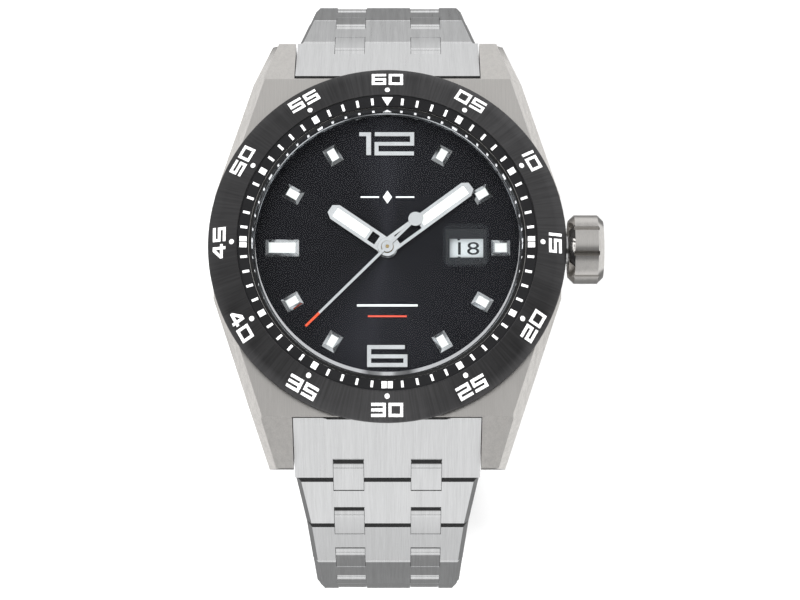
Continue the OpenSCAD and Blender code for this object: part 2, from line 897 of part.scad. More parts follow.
module crown_tube() {
    color(STEEL) difference() {
        along_x(cavity_r + 0.1) cylinder(r = tube_r - 0.01, h = crown_x + 2.2 - cavity_r - 0.1);
        along_x(10) cylinder(r = stem_r + clear, h = 20);
    }
}

module winding_stem() {
    color(STEEL) along_x(13.1) cylinder(r = stem_r, h = crown_x + 3 - 13.1);
}

// Groove between two lobes: V-shaped across, and pointed at both ends
module crown_groove() {
    deep = 0.75;
    long = 1.75;
    translate([0, 0, crown_r + 0.15]) intersection() {
        rotate([0, 90, 0]) linear_extrude(10, center = true)
            polygon([[-1, -0.9], [deep, 0], [-1, 0.9]]);
        rotate([90, 0, 0]) linear_extrude(10, center = true)
            polygon([[-long - 1, 1], [-long, 0.1], [0.5 - long, -deep], [long - 0.5, -deep], [long, 0.1], [long + 1, 1]]);
    }
}

module crown() {
    edge = 0.7;
    groove_turn = 16.5;
    mid_x = crown_x + crown_len / 2;
    color(TITANIUM) difference() {
        translate([crown_x, 0, crown_z]) rotate([0, 90, 0]) rotate_extrude() polygon([
            [0, 0], [crown_r - edge, 0], [crown_r, edge], [crown_r, crown_len - edge],
            [crown_r - edge, crown_len], [0, crown_len]
        ]);
        along_x(crown_x - 1) cylinder(r = tube_r + 0.5, h = 3.4);
        along_x(crown_x) cylinder(r = stem_r + press, h = 3);
        for (i = [0 : crown_lobes - 1]) translate([mid_x, 0, crown_z])
            rotate([groove_turn + i * 360 / crown_lobes, 0, 0]) crown_groove();
    }
}

// Seal between the crown and its tube
module crown_gasket() {
    color(RUBBER) along_x(crown_x + 1) rotate_extrude()
        translate([tube_r + 0.25, 0, 0]) circle(0.2);
}

// ---------------------------------------------------------------- assembly

mid_case();
case_back();
case_back_gasket();
crystal();
date_magnifier();
crystal_gasket();
rehaut_ring();
dial();
hour_markers();
dial_numerals();
movement_holder();
main_plate();
train_bridge();
balance_cock();
rotor_bearing();
crown_tube();
spring_bars();
bezel();
minute_ring();
bezel_click_spring();
hour_hand();
hour_hand_lume();
minute_hand();
minute_hand_lume();
seconds_hand();
mainspring_barrel();
center_wheel();
third_wheel();
fourth_wheel();
escape_wheel();
pallet_fork();
balance_wheel();
hairspring();
rotor();
date_disc();
winding_stem();
crown();
crown_gasket();
end_link("12");  // end_link_12
end_link("6");  // end_link_6
for (side = ["12", "6"]) for (i = [1 : links])
    link(side, i);
clasp_cover();
clasp_outer_blade();
clasp_inner_blade();
button(1);  // clasp_button_3
button(-1);  // clasp_button_9
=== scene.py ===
import json
import math

import bpy
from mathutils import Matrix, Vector

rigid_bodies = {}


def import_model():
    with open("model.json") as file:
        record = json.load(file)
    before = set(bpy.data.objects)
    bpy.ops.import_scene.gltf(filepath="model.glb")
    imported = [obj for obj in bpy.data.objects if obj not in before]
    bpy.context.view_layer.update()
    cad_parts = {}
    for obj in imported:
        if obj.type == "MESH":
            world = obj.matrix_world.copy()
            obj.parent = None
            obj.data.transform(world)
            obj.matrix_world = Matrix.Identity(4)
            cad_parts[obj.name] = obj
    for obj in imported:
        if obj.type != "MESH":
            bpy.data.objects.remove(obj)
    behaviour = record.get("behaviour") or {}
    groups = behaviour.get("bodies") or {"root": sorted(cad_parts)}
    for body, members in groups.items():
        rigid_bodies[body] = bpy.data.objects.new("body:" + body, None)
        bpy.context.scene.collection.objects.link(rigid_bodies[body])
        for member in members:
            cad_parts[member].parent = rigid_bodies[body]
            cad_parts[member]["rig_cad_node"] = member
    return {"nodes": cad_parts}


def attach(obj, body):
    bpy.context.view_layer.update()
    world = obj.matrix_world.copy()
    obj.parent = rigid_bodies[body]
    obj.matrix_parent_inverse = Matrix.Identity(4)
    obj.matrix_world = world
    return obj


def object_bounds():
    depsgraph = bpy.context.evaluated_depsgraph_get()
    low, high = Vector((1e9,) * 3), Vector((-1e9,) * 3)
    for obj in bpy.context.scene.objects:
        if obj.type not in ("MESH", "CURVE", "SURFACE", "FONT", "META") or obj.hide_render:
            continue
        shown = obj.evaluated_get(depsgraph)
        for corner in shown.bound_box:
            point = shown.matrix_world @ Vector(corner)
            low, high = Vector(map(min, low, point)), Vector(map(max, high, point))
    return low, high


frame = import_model()
start_lo, start_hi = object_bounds()

MM = 0.001
WATCH = frame["nodes"]

# heights and radii of the CAD parts that the printed marks sit on, in mm
SLOPE_R, RIM_R = 17.75, 21.02
SLOPE_TOP, SLOPE_LOW = 12.0, 10.15
RING_IN, RING_OUT = 16.35, 17.67
RING_IN_Z, RING_OUT_Z = 11.55, 11.7
MARK_R, NUMBER_R, DOT_R, HOUR_R = 16.95, 19.8, 18.3, 13.0
DIAL_Z = 7.5
DISC_Z = 6.85
PAINT = 0.035
# below this height an upward face of the bracelet is its inner side, which is brushed
POLISHED_ABOVE = -22.0


# ---------------------------------------------------------------- node helpers


def add(tree, kind, props=None, inputs=None):
    node = tree.nodes.new(kind)
    for key, value in (props or {}).items():
        setattr(node, key, value)
    for key, value in (inputs or {}).items():
        if isinstance(value, bpy.types.NodeSocket):
            tree.links.new(value, node.inputs[key])
        else:
            node.inputs[key].default_value = value
    return node


def calc(tree, op, a, b=0.0, clamp=False):
    node = add(tree, "ShaderNodeMath", {"operation": op, "use_clamp": clamp}, {0: a, 1: b})
    return node.outputs[0]


def remap(tree, value, low, high, out_low=0.0, out_high=1.0):
    node = add(tree, "ShaderNodeMapRange", {"interpolation_type": "SMOOTHSTEP"}, {
        "Value": value, "From Min": low, "From Max": high, "To Min": out_low, "To Max": out_high})
    return node.outputs["Result"]


def ramp(tree, factor, stops):
    node = add(tree, "ShaderNodeValToRGB", {}, {"Fac": factor})
    bands = node.color_ramp.elements
    while len(bands) < len(stops):
        bands.new(0.5)
    for band, (at, level) in zip(bands, stops):
        band.position = at
        band.color = (level, level, level, 1) if isinstance(level, float) else (*level, 1)
    return node.outputs["Color"]


def split(tree, vector):
    node = add(tree, "ShaderNodeSeparateXYZ", {}, {0: vector})
    return node.outputs[0], node.outputs[1], node.outputs[2]


def noise(tree, vector, scale, detail=3.0, rough=0.6):
    placed = add(tree, "ShaderNodeMapping", {}, {"Vector": vector, "Scale": scale})
    node = add(tree, "ShaderNodeTexNoise", {}, {
        "Vector": placed.outputs[0], "Scale": 1.0, "Detail": detail, "Roughness": rough})
    return node.outputs["Fac"]


def tint(tree, factor, dark, light):
    node = add(tree, "ShaderNodeMix", {"data_type": "RGBA"}, {
        "Factor": factor, "A": (*dark, 1), "B": (*light, 1)})
    return node.outputs["Result"]


def shade(colour, gain):
    return tuple(min(1.0, c * gain) for c in colour)


def start_material(name):
    material = bpy.data.materials.new(name)
    material.use_nodes = True
    tree = material.node_tree
    tree.nodes.clear()
    out = tree.nodes.new("ShaderNodeOutputMaterial")
    place = tree.nodes.new("ShaderNodeTexCoord")
    return material, tree, out, place


def close_material(tree, out, inputs):
    surface = add(tree, "ShaderNodeBsdfPrincipled", {}, inputs)
    tree.links.new(surface.outputs[0], out.inputs["Surface"])
    return surface


def bump(tree, height, strength, distance=0.00002):
    node = add(tree, "ShaderNodeBump", {}, {"Height": height, "Strength": strength, "Distance": distance})
    return node.outputs[0]


# ---------------------------------------------------------------- metals

ALONG_STRAP = (9000.0, 260.0, 260.0)
SIDE_GRAIN = (9000.0, 260.0, 9000.0)


def brushed(name, colour, grain, low_rough, high_rough, polish_ends=False):
    """Metal brushed along Y, with polished faces where it leans sideways or, on a link, where it faces up."""
    material, tree, out, place = start_material(name)
    fine = noise(tree, place.outputs["Object"], grain, 4.0, 0.7)
    broad = noise(tree, place.outputs["Object"], tuple(g * 0.22 for g in grain), 2.0)
    blotch = noise(tree, place.outputs["Object"], (90.0, 90.0, 90.0), 2.0)
    lines = calc(tree, "ADD", calc(tree, "MULTIPLY", fine, 0.62), calc(tree, "MULTIPLY", broad, 0.38))
    base = tint(tree, remap(tree, lines, 0.3, 0.7), shade(colour, 0.88), shade(colour, 1.08))
    rough = calc(tree, "ADD", remap(tree, lines, 0.3, 0.7, low_rough, high_rough), calc(tree, "MULTIPLY", blotch, 0.06))
    nx, _, nz = split(tree, place.outputs["Normal"])
    upright = calc(tree, "SQRT", calc(tree, "SUBTRACT", 1.0, calc(tree, "MULTIPLY", nx, nx)))
    sideways = calc(tree, "MULTIPLY", calc(tree, "ABSOLUTE", nx), calc(tree, "ABSOLUTE", upright))
    polish = remap(tree, sideways, 0.18, 0.3)
    if polish_ends:
        _, _, height = split(tree, place.outputs["Object"])
        outside = calc(tree, "GREATER_THAN", height, POLISHED_ABOVE * MM)
        facing_up = remap(tree, nz, 0.64, 0.68)
        polish = calc(tree, "MAXIMUM", polish, calc(tree, "MULTIPLY", outside, facing_up))
    keep = calc(tree, "SUBTRACT", 1.0, polish)
    rough = calc(tree, "ADD", calc(tree, "MULTIPLY", rough, keep), calc(tree, "MULTIPLY", polish, 0.09))
    across = add(tree, "ShaderNodeCombineXYZ", {}, {0: 1.0, 1: 0.0, 2: 0.0})
    close_material(tree, out, {
        "Base Color": base, "Metallic": 1.0, "Roughness": rough, "Anisotropic": calc(tree, "MULTIPLY", keep, 0.72),
        "Tangent": across.outputs[0], "Normal": bump(tree, lines, 0.35)})
    return material


def polished(name, colour, rough=0.07):
    """Mirror metal with faint hairlines and smears."""
    material, tree, out, place = start_material(name)
    smear = noise(tree, place.outputs["Object"], (420.0, 420.0, 420.0), 3.0)
    hair = noise(tree, place.outputs["Object"], (2500.0, 300.0, 2500.0), 2.0)
    base = tint(tree, remap(tree, smear, 0.3, 0.7), shade(colour, 0.93), shade(colour, 1.05))
    close_material(tree, out, {
        "Base Color": base, "Metallic": 1.0,
        "Roughness": remap(tree, hair, 0.35, 0.75, rough * 0.6, rough * 1.7),
        "Normal": bump(tree, smear, 0.08)})
    return material


def grained(name, colour, metallic, low_rough, high_rough, scale, depth, shine=0.5):
    """Matt or satin surface with an even fine grain."""
    material, tree, out, place = start_material(name)
    grain = noise(tree, place.outputs["Object"], (scale, scale, scale), 4.0)
    wear = noise(tree, place.outputs["Object"], (scale * 0.06,) * 3, 3.0)
    base = tint(tree, remap(tree, wear, 0.3, 0.7), shade(colour, 0.88), shade(colour, 1.1))
    close_material(tree, out, {
        "Base Color": base, "Metallic": metallic, "Specular IOR Level": shine,
        "Roughness": remap(tree, grain, 0.3, 0.7, low_rough, high_rough),
        "Normal": bump(tree, grain, depth)})
    return material


def polar(tree, place):
    """Turn round the dial axis, 0 at 12 o'clock and clockwise to 1, and the distance from the axis."""
    x, y, z = split(tree, place.outputs["Object"])
    angle = calc(tree, "ARCTAN2", x, y)
    turn = calc(tree, "FRACT", calc(tree, "ADD", calc(tree, "DIVIDE", angle, 2 * math.pi), 1.0))
    reach = calc(tree, "SQRT", calc(tree, "ADD", calc(tree, "MULTIPLY", x, x), calc(tree, "MULTIPLY", y, y)))
    return turn, reach, z


def ray_lines(tree, turn, reach, count):
    """Streaks that run out from the dial axis."""
    vector = add(tree, "ShaderNodeCombineXYZ", {}, {
        0: calc(tree, "MULTIPLY", turn, count), 1: calc(tree, "MULTIPLY", reach, 120.0), 2: 0.0})
    return noise(tree, vector.outputs[0], (1.0, 1.0, 1.0), 3.0, 0.65)


def sunray(name, colour, count, low_rough, high_rough, metallic, painted_sheen, shine=0.5):
    """Coating brushed outward from the dial axis; the last argument lists gains round the dial that multiply the
    colour, painted highlights and painted shade where the light would catch or miss the brushing.
    """
    material, tree, out, place = start_material(name)
    turn, reach, _ = polar(tree, place)
    rays = ray_lines(tree, turn, reach, count)
    wide = ray_lines(tree, turn, reach, count * 0.06)
    streak = calc(tree, "ADD", calc(tree, "MULTIPLY", rays, 0.65), calc(tree, "MULTIPLY", wide, 0.35))
    base = tint(tree, remap(tree, streak, 0.3, 0.7), shade(colour, 0.78), shade(colour, 1.25))
    # painted highlight and painted shade: the colour is scaled by a gain that depends only on the turn round the dial
    gain = ramp(tree, turn, painted_sheen)
    mixed = add(tree, "ShaderNodeMix", {"data_type": "RGBA", "blend_type": "MULTIPLY"}, {
        "Factor": 1.0, "A": base, "B": gain}).outputs["Result"]
    around = add(tree, "ShaderNodeTangent", {"direction_type": "RADIAL", "axis": "Z"})
    close_material(tree, out, {
        "Base Color": mixed, "Metallic": metallic, "Specular IOR Level": shine,
        "Roughness": remap(tree, streak, 0.3, 0.7, low_rough, high_rough),
        "Anisotropic": 0.6, "Tangent": around.outputs[0], "Normal": bump(tree, rays, 0.15)})
    return material


def seconds_metal(name, colour, tip_from, tip_colour):
    """Polished hand with a painted tip."""
    material, tree, out, place = start_material(name)
    _, reach, _ = polar(tree, place)
    paint = calc(tree, "GREATER_THAN", reach, tip_from * MM)
    wear = noise(tree, place.outputs["Object"], (900.0, 900.0, 900.0))
    metal = tint(tree, wear, shade(colour, 0.92), shade(colour, 1.05))
    mixed = add(tree, "ShaderNodeMix", {"data_type": "RGBA"}, {
        "Factor": paint, "A": metal, "B": (*tip_colour, 1)}).outputs["Result"]
    close_material(tree, out, {
        "Base Color": mixed, "Metallic": calc(tree, "SUBTRACT", 1.0, paint),
        "Roughness": remap(tree, wear, 0.3, 0.7, 0.14, 0.26), "Normal": bump(tree, wear, 0.05)})
    return material


def sapphire(name, strength, edge_grey):
    """Clear plate: seen through, with a faint reflection that is stronger on its edges."""
    material, tree, out, place = start_material(name)
    _, _, nz = split(tree, place.outputs["Normal"])
    flat = remap(tree, calc(tree, "ABSOLUTE", nz), 0.75, 0.97)
    smear = noise(tree, place.outputs["Object"], (160.0, 160.0, 160.0), 3.0)
    fresnel = add(tree, "ShaderNodeFresnel", {}, {"IOR": 1.5}).outputs[0]
    face = calc(tree, "MULTIPLY", fresnel, strength)
    edge = calc(tree, "MULTIPLY", calc(tree, "SUBTRACT", 1.0, flat), edge_grey)
    clear = add(tree, "ShaderNodeBsdfTransparent", {}, {"Color": (0.975, 0.985, 0.99, 1)})
    gloss = add(tree, "ShaderNodeBsdfGlossy", {}, {
        "Color": (0.95, 0.97, 1, 1), "Roughness": remap(tree, smear, 0.35, 0.7, 0.005, 0.04)})
    both = add(tree, "ShaderNodeMixShader", {}, {
        0: calc(tree, "ADD", face, edge, clamp=True), 1: clear.outputs[0], 2: gloss.outputs[0]})
    tree.links.new(both.outputs[0], out.inputs["Surface"])
    return material


# ---------------------------------------------------------------- meshes made here


def new_piece(name, verts, faces, material, body):
    mesh = bpy.data.meshes.new(name)
    mesh.from_pydata([tuple(Vector(v) * MM) for v in verts], [], faces)
    mesh.update()
    mesh.validate()
    obj = bpy.data.objects.new(name, mesh)
    bpy.context.scene.collection.objects.link(obj)
    obj.data.materials.append(material)
    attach(obj, body)
    return obj


def prism(shape, place, low, high):
    """Closed slab over a convex outline; place turns (u, v, height) into a point in mm."""
    n = len(shape)
    verts = [place(u, v, low) for u, v in shape] + [place(u, v, high) for u, v in shape]
    faces = [tuple(range(n - 1, -1, -1)), tuple(range(n, 2 * n))]
    faces += [(i, (i + 1) % n, n + (i + 1) % n, n + i) for i in range(n)]
    return verts, faces


def slabs(shapes, low, high):
    """Many prisms in one mesh; shapes holds (outline, place) pairs."""
    verts, faces = [], []
    for shape, place in shapes:
        v, f = prism(shape, place, low, high)
        faces += [tuple(len(verts) + i for i in face) for face in f]
        verts += v
    return verts, faces


def bar(u0, v0, u1, v1):
    return [(u0, v0), (u1, v0), (u1, v1), (u0, v1)]


def disc(radius, sides=20):
    step = 2 * math.pi / sides
    return [(radius * math.cos(step * i), radius * math.sin(step * i)) for i in range(sides)]


def on_slope(radius, turn, flip=1):
    """Places flat marks on the bezel's cone, centred at one radius and clockwise angle."""
    s, c = math.sin(math.radians(turn)), math.cos(math.radians(turn))
    fall = (SLOPE_TOP - SLOPE_LOW) / (RIM_R - SLOPE_R)

    def place(u, v, h):
        out_by, across = radius + flip * v, flip * u
        x, y = out_by * s + across * c, out_by * c - across * s
        return x, y, SLOPE_TOP - (math.hypot(x, y) - SLOPE_R) * fall + h
    return place


def on_ring(radius, turn):
    """Places marks on the minute ring."""
    s, c = math.sin(math.radians(turn)), math.cos(math.radians(turn))
    rise = (RING_OUT_Z - RING_IN_Z) / (RING_OUT - RING_IN)

    def place(u, v, h):
        x, y = (radius + v) * s + u * c, (radius + v) * c - u * s
        return x, y, RING_IN_Z + (math.hypot(x, y) - RING_IN) * rise + h
    return place


def on_flat(x0, y0, z, turn=0.0):
    s, c = math.sin(math.radians(turn)), math.cos(math.radians(turn))

    def place(u, v, h):
        return x0 + u * c + v * s, y0 - u * s + v * c, z + h
    return place


# bars of a square digit: top, upper left, upper right, middle, lower left, lower right, bottom
SEGMENTS = {"0": "tabcdf", "1": "bd", "2": "tbmcf", "3": "tbmdf", "5": "tamdf", "6": "tamcdf"}


def square_digit(ch, w, h, s):
    """Bars of one digit, lower left corner at 0, as outlines that touch and don't overlap."""
    if ch == "4":
        knee, stem = 0.32 * h, w - 0.28 * w
        return [bar(0, knee - s / 2, w, knee + s / 2), bar(stem - s / 2, 0, stem + s / 2, knee - s / 2),
                [(0.02, knee + s / 2), (s * 1.35, knee + s / 2), (stem - s / 2, h - s * 1.1),
                 (stem - s / 2, h), (stem - s, h)],
                bar(stem - s / 2, knee + s / 2, stem + s / 2, h)]
    if ch == "1":
        return [bar(0, 0, s, h)]
    half, mid_low, mid_high = h / 2, h / 2 - s / 2, h / 2 + s / 2
    use = SEGMENTS[ch]
    middle = "m" in use
    pieces = [bar(0, h - s, w, h), bar(0, 0, w, s)]
    if middle:
        pieces.append(bar(0, mid_low, w, mid_high))
    top_from, low_to = (mid_high, mid_low) if middle else (half, half)
    sides = {"a": bar(0, top_from, s, h - s), "b": bar(w - s, top_from, w, h - s),
             "c": bar(0, s, s, low_to), "d": bar(w - s, s, w, low_to)}
    return pieces + [sides[k] for k in "abcd" if k in use]


def number_shapes(text, w, h, s, gap):
    """Outlines of a number centred on 0, 0."""
    widths = [s if ch == "1" else w for ch in text]
    u = -(sum(widths) + gap * (len(text) - 1)) / 2
    shapes = []
    for ch, width in zip(text, widths):
        shapes += [[(u + p, q - h / 2) for p, q in shape] for shape in square_digit(ch, w, h, s)]
        u += width + gap
    return shapes


def bezel_numbers(material):
    """Twelve numbers round the bezel, the lower five with their tops inward, and a dot under each."""
    shapes = []
    for k in range(1, 13):
        text, turn = f"{5 * k:02d}", 30.0 * k
        flip = -1 if 4 <= k <= 8 else 1
        place = on_slope(NUMBER_R, turn, flip)
        shapes += [(shape, place) for shape in number_shapes(text, 1.7, 1.55, 0.34, 0.32)]
        shapes.append((disc(0.3), on_slope(DOT_R, turn)))
    return new_piece("bezel_numbers", *slabs(shapes, -0.05, PAINT), material, "bezel")


def minute_marks(material):
    """Minute ticks, five-minute blocks, quarter pairs and the triangle at 60."""
    shapes = [([(-0.65, 0.42), (0.0, -0.6), (0.65, 0.42)][::-1], on_ring(17.0, 0.0))]
    for m in range(1, 60):
        turn = 6.0 * m
        if m % 15 == 0:
            shapes += [(bar(-0.66, -0.42, -0.06, 0.42), on_ring(MARK_R, turn)),
                       (bar(0.06, -0.42, 0.66, 0.42), on_ring(MARK_R, turn))]
        elif m % 5 == 0:
            shapes.append((bar(-0.36, -0.42, 0.36, 0.42), on_ring(MARK_R, turn)))
        else:
            shapes.append((bar(-0.15, -0.4, 0.15, 0.4), on_ring(MARK_R, turn)))
    return new_piece("minute_marks", *slabs(shapes, -0.05, PAINT), material, "bezel")


def marker_fills(material):
    """Luminous paint in the wells of the hour markers."""
    shapes = []
    for hour in (1, 2, 4, 5, 7, 8, 10, 11):
        turn = 30.0 * hour
        x, y = HOUR_R * math.sin(math.radians(turn)), HOUR_R * math.cos(math.radians(turn))
        shapes.append((bar(-0.45, -0.675, 0.45, 0.675), on_flat(x, y, DIAL_Z + 0.285, turn)))
    shapes.append((bar(-1.575, -0.6, 1.575, 0.6), on_flat(-12.5, 0.0, DIAL_Z + 0.285)))
    shapes.append((bar(-0.7, -0.525, 0.7, 0.525), on_flat(13.475, 0.0, DIAL_Z + 0.285)))
    fills = new_piece("marker_fills", *slabs(shapes, 0.0, 0.13), material, "case")
    soften(fills, 0.03, 2)
    return fills


def dial_print(white, red):
    """Generic print: a lozenge between two rules above, a white rule and a red one below."""
    lozenge = [(0, -0.8), (0.55, 0), (0, 0.8), (-0.55, 0)]
    upper, middle, lower = (on_flat(0.0, y, DIAL_Z) for y in (6.2, -6.9, -8.2))
    above = [(lozenge, upper), (bar(-3.2, -0.09, -1.0, 0.09), upper),
             (bar(1.0, -0.09, 3.2, 0.09), upper), (bar(-3.6, -0.13, 3.6, 0.13), middle)]
    new_piece("dial_print", *slabs(above, -0.02, 0.02), white, "case")
    below = [(bar(-2.3, -0.1, 2.3, 0.1), lower)]
    new_piece("dial_print_red", *slabs(below, -0.02, 0.02), red, "case")


def date_frame(material):
    """Dark frame round the date, which leaves one day in view."""
    left, right, foot, head, half = 6.95, 11.8, -1.95, 2.3, 1.13
    open_l, open_r = 7.4, 11.4
    sides = [bar(left, foot, right, -half), bar(left, half, right, head),
             bar(left, -half, open_l, half), bar(open_r, -half, right, half)]
    shapes = [(side, on_flat(0.0, 0.0, DIAL_Z)) for side in sides]
    return new_piece("date_frame", *slabs(shapes, -0.02, 0.06), material, "case")


def date_numbers(material):
    """Days 1 to 31 on the date disc, with the 18th at the window."""
    meshes = []
    for day in range(1, 32):
        curve = bpy.data.curves.new(f"day_{day}", "FONT")
        curve.body = str(day)
        curve.align_x, curve.align_y = "CENTER", "CENTER"
        curve.size, curve.extrude = 2.2 * MM, 0.015 * MM
        obj = bpy.data.objects.new(curve.name, curve)
        bpy.context.scene.collection.objects.link(obj)
        bpy.context.view_layer.update()
        mesh = bpy.data.meshes.new_from_object(obj)
        angle = math.radians((day - 18) * 360 / 31)
        for v in mesh.vertices:
            x, y = v.co.x * 1.5 + 9.4 * MM, v.co.y
            v.co = (x * math.cos(angle) + y * math.sin(angle), y * math.cos(angle) - x * math.sin(angle),
                    v.co.z + DISC_Z * MM)
        bpy.data.objects.remove(obj)
        meshes.append(mesh)
    verts, faces = [], []
    for mesh in meshes:
        faces += [tuple(len(verts) + i for i in p.vertices) for p in mesh.polygons]
        verts += [tuple(v.co / MM) for v in mesh.vertices]
        bpy.data.meshes.remove(mesh)
    return new_piece("date_numbers", verts, faces, material, "date")


# ---------------------------------------------------------------- finish of the CAD parts


def edge_group():
    """Joins the split corners of a CAD mesh and makes its sharp edges plain to the bevel."""
    group = bpy.data.node_groups.new("join_edges", "GeometryNodeTree")
    group.interface.new_socket("Geometry", in_out="INPUT", socket_type="NodeSocketGeometry")
    group.interface.new_socket("Geometry", in_out="OUTPUT", socket_type="NodeSocketGeometry")
    enter = group.nodes.new("NodeGroupInput")
    leave = group.nodes.new("NodeGroupOutput")
    join = add(group, "GeometryNodeMergeByDistance", {}, {"Geometry": enter.outputs[0], "Distance": 0.002 * MM})
    plain = add(group, "GeometryNodeRemoveAttribute", {}, {"Geometry": join.outputs[0], "Name": "custom_normal"})
    soft = add(group, "GeometryNodeSetShadeSmooth", {"domain": "FACE"}, {
        "Geometry": plain.outputs[0], "Shade Smooth": True})
    angle = group.nodes.new("GeometryNodeInputMeshEdgeAngle")
    sharp = add(group, "ShaderNodeMath", {"operation": "GREATER_THAN"}, {0: angle.outputs[0], 1: math.radians(32)})
    hard = add(group, "GeometryNodeSetShadeSmooth", {"domain": "EDGE"}, {
        "Geometry": soft.outputs[0], "Selection": sharp.outputs[0], "Shade Smooth": False})
    group.links.new(hard.outputs[0], leave.inputs[0])
    return group


JOIN = edge_group()


def soften(obj, width, segments=2, edge_slot=-1):
    """Small rounding on every sharp edge of a part, in mm."""
    if "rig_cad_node" in obj:
        obj.modifiers.new("join", "NODES").node_group = JOIN
    round_off = obj.modifiers.new("edges", "BEVEL")
    round_off.width = width * MM
    round_off.segments = segments
    round_off.limit_method = "ANGLE"
    round_off.angle_limit = math.radians(32)
    round_off.harden_normals = True
    round_off.material = edge_slot


def dress(names, material, width=0.0, edge=None):
    for name in names:
        obj = WATCH[name]
        obj.data.materials.clear()
        obj.data.materials.append(material)
        if edge:
            obj.data.materials.append(edge)
        if width:
            soften(obj, width, 2, 1 if edge else -1)


def finish_parts():
    steel_c, titan_c, chrome_c = (0.78, 0.785, 0.79), (0.7, 0.68, 0.655), (0.9, 0.905, 0.91)
    steel = brushed("brushed_steel", steel_c, ALONG_STRAP, 0.24, 0.36, polish_ends=True)
    titan = brushed("brushed_titanium", titan_c, SIDE_GRAIN, 0.27, 0.42)
    chrome = polished("polished_steel", chrome_c)
    edge = polished("polished_edge", (0.86, 0.865, 0.87), 0.1)
    links = [n for n in WATCH if n.startswith("link_")]
    dress(links + ["end_link_12", "end_link_6", "clasp_cover"], steel, 0.14, edge)
    dress(["clasp_outer_blade", "clasp_inner_blade", "clasp_button_3", "clasp_button_9"], chrome, 0.08)
    dress(["mid_case", "crown"], titan, 0.1, edge)
    dress(["case_back"], titan, 0.06)
    dress(["spring_bars", "crown_tube", "winding_stem", "bezel_click_spring"], steel)
    dress(["rehaut_ring"], polished("flange_polish", chrome_c, 0.05))
    dress(["hour_markers", "dial_numerals"], chrome, 0.05)
    dress(["hour_hand", "minute_hand"], chrome, 0.04)
    dress(["seconds_hand"], seconds_metal("seconds_metal", chrome_c, 11.35, (0.8, 0.09, 0.03)), 0.03)
    # painted highlight on the bezel, brighter round 1 and 6 o'clock, and painted shade, darker from 9 to 11
    bezel_painted_sheen = [(0.0, 0.95), (0.08, 1.15), (0.2, 0.9), (0.42, 1.1), (0.5, 1.3), (0.6, 1.0), (0.75, 0.75),
                  (0.9, 0.7), (1.0, 0.95)]
    dress(["bezel"], sunray("gunmetal", (0.078, 0.077, 0.079), 420.0, 0.3, 0.42, 0.85, bezel_painted_sheen), 0.07)
    dress(["minute_ring"], grained("ring_black", (0.012, 0.012, 0.013), 0.0, 0.42, 0.6, 3000.0, 0.1, 0.15))
    # painted highlights on the dial: brighter wedges at 12 and just past 6, a little darker round 8 to 11
    dial_painted_sheen = [(0.0, 1.9), (0.05, 1.1), (0.16, 1.0), (0.4, 1.1), (0.5, 1.5), (0.53, 2.1), (0.6, 1.2),
                 (0.7, 0.85), (0.93, 0.9), (1.0, 1.9)]
    dress(["dial"], sunray("dial_lacquer", (0.014, 0.014, 0.017), 900.0, 0.3, 0.4, 0.6, dial_painted_sheen, 0.15))
    dress(["crystal"], sapphire("sapphire", 0.12, 0.75))
    dress(["date_magnifier"], sapphire("magnifier", 0.3, 0.85))
    finish_insides()


def finish_insides():
    rubber = grained("seal_rubber", (0.02, 0.02, 0.02), 0.0, 0.6, 0.8, 1500.0, 0.3)
    dress(["crystal_gasket", "case_back_gasket", "crown_gasket"], rubber)
    dress(["movement_holder"], grained("holder_plastic", (0.55, 0.53, 0.47), 0.0, 0.4, 0.55, 900.0, 0.15))
    plates = grained("movement_plate", (0.6, 0.6, 0.61), 1.0, 0.22, 0.4, 1800.0, 0.2)
    dress(["main_plate", "train_bridge", "balance_cock", "rotor_bearing", "pallet_fork", "rotor"], plates)
    brass = grained("movement_brass", (0.72, 0.53, 0.25), 1.0, 0.2, 0.35, 2200.0, 0.15)
    dress(["mainspring_barrel", "center_wheel", "third_wheel", "fourth_wheel", "escape_wheel", "balance_wheel"], brass)
    dress(["hairspring"], grained("blued_spring", (0.03, 0.06, 0.25), 1.0, 0.2, 0.3, 2000.0, 0.1))
    dress(["date_disc"], grained("date_white", (0.86, 0.86, 0.85), 0.0, 0.45, 0.6, 2500.0, 0.05))
    lume = grained("luminous", (0.87, 0.88, 0.85), 0.0, 0.6, 0.85, 6000.0, 0.4)
    dress(["hour_hand_lume", "minute_hand_lume"], lume)


def print_marks():
    white = grained("white_print", (0.9, 0.9, 0.9), 0.0, 0.4, 0.6, 4000.0, 0.1)
    red = grained("red_print", (0.75, 0.09, 0.05), 0.0, 0.4, 0.6, 4000.0, 0.1)
    black = grained("black_print", (0.012, 0.012, 0.014), 0.0, 0.35, 0.5, 4000.0, 0.05)
    lume = bpy.data.materials["luminous"]
    bezel_numbers(white)
    minute_marks(white)
    marker_fills(lume)
    dial_print(white, red)
    date_numbers(black)
    date_frame(black)


# ---------------------------------------------------------------- studio


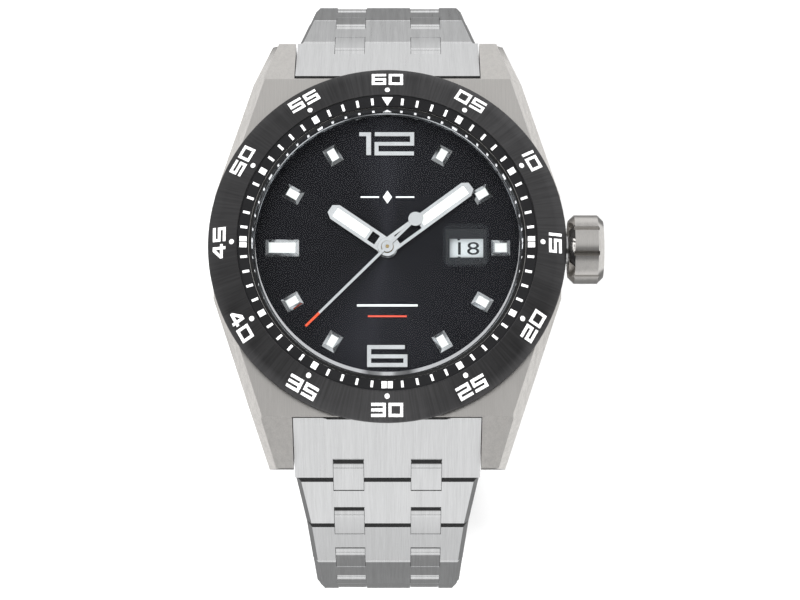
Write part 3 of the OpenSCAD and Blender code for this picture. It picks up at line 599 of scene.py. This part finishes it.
def studio_world():
    """White room for the camera; for reflections, soft boxes with a dark band a little to the 6 o'clock side."""
    world = bpy.data.worlds.new("studio")
    world.use_nodes = True
    tree = world.node_tree
    tree.nodes.clear()
    place = tree.nodes.new("ShaderNodeTexCoord")
    x, y, z = split(tree, place.outputs["Generated"])
    lean_y = calc(tree, "DIVIDE", calc(tree, "ARCTAN2", y, z), 2 * math.pi)
    lean_x = calc(tree, "DIVIDE", calc(tree, "ARCTAN2", x, z), 2 * math.pi)
    along = ramp(tree, calc(tree, "ADD", lean_y, 0.5), [
        (0.0, 0.8), (0.25, 0.8), (0.29, 1.0), (0.365, 0.95), (0.392, 0.05),
        (0.487, 0.05), (0.505, 0.98), (0.56, 1.0), (0.62, 1.0), (0.72, 1.0), (0.76, 0.6), (1.0, 0.8)])
    across = ramp(tree, calc(tree, "ADD", lean_x, 0.5), [
        (0.0, 0.8), (0.27, 1.0), (0.33, 1.0), (0.36, 0.3), (0.42, 0.5), (0.46, 1.0),
        (0.54, 1.0), (0.58, 0.4), (0.65, 0.22), (0.68, 1.0), (1.0, 0.8)])
    room = add(tree, "ShaderNodeMix", {"data_type": "RGBA", "blend_type": "MULTIPLY"}, {
        "Factor": 1.0, "A": along, "B": across}).outputs["Result"]
    path = tree.nodes.new("ShaderNodeLightPath")
    seen = add(tree, "ShaderNodeMix", {"data_type": "RGBA"}, {
        "Factor": path.outputs["Is Glossy Ray"], "A": (1, 1, 1, 1), "B": room}).outputs["Result"]
    level = calc(tree, "SUBTRACT", 1.0, calc(tree, "MULTIPLY", path.outputs["Is Glossy Ray"], 0.15))
    sky = add(tree, "ShaderNodeBackground", {}, {"Color": seen, "Strength": level})
    out = tree.nodes.new("ShaderNodeOutputWorld")
    tree.links.new(sky.outputs[0], out.inputs[0])
    bpy.context.scene.world = world


def area_light(name, at, aim, size, power):
    light = bpy.data.lights.new(name, "AREA")
    light.shape, light.size, light.size_y = "RECTANGLE", size[0], size[1]
    light.energy = power
    obj = bpy.data.objects.new(name, light)
    obj.location = at
    obj.rotation_euler = (Vector(aim) - Vector(at)).to_track_quat("-Z", "Y").to_euler()
    obj.visible_glossy = False
    bpy.context.scene.collection.objects.link(obj)


def floor_white():
    """White to the eye; in reflections it glows as an emission instead, a painted reflection bright towards the horizon
    and painted shade, grey close to the watch.
    """
    material = grained("floor_white", (0.93, 0.93, 0.93), 0.0, 0.5, 0.6, 60.0, 0.02)
    tree = material.node_tree
    out = next(n for n in tree.nodes if n.type == "OUTPUT_MATERIAL")
    plain = out.inputs["Surface"].links[0].from_socket
    facing = tree.nodes.new("ShaderNodeNewGeometry")
    _, _, steep = split(tree, facing.outputs["Incoming"])
    # painted reflection: for glossy rays the floor glows with an emission, dimmer where the ray comes down steeply near
    # the watch
    floor_painted_reflection = add(tree, "ShaderNodeEmission", {}, {"Strength": remap(tree, steep, 0.48, 0.68, 0.92, 0.26)})
    path = tree.nodes.new("ShaderNodeLightPath")
    both = add(tree, "ShaderNodeMixShader", {}, {0: path.outputs["Is Glossy Ray"], 1: plain, 2: floor_painted_reflection.outputs[0]})
    tree.links.new(both.outputs[0], out.inputs["Surface"])
    return material


def studio_floor():
    lowest = start_lo.z
    mesh = bpy.data.meshes.new("floor")
    r = 3.0
    mesh.from_pydata([(-r, -r, lowest), (r, -r, lowest), (r, r, lowest), (-r, r, lowest)], [], [(0, 1, 2, 3)])
    floor = bpy.data.objects.new("floor", mesh)
    bpy.context.scene.collection.objects.link(floor)
    floor.data.materials.append(floor_white())


def studio_camera():
    """The photo's view: a long lens from the 6 o'clock side, 9.5 degrees off the dial axis."""
    data = bpy.data.cameras.new("camera")
    data.lens, data.sensor_width = 126.0, 36.0
    data.clip_start, data.clip_end = 0.01, 20.0
    cam = bpy.data.objects.new("camera", data)
    tilt = math.radians(9.5)
    aim = Vector((1.5, -7.0, 12.0)) * MM
    back = Vector((0, -math.sin(tilt), math.cos(tilt)))
    cam.location = aim + back * 327.5 * MM
    cam.rotation_euler = (-back).to_track_quat("-Z", "Y").to_euler()
    bpy.context.scene.collection.objects.link(cam)
    bpy.context.scene.camera = cam


def studio():
    studio_world()
    studio_floor()
    area_light("key", (-0.35, -0.25, 0.75), (0, 0, 0), (0.5, 0.5), 6.0)
    area_light("fill", (0.45, 0.35, 0.7), (0, 0, 0), (0.4, 0.4), 3.0)
    studio_camera()
    view = bpy.context.scene.view_settings
    view.view_transform = "Standard"
    view.look = "None"


finish_parts()
print_marks()
studio()
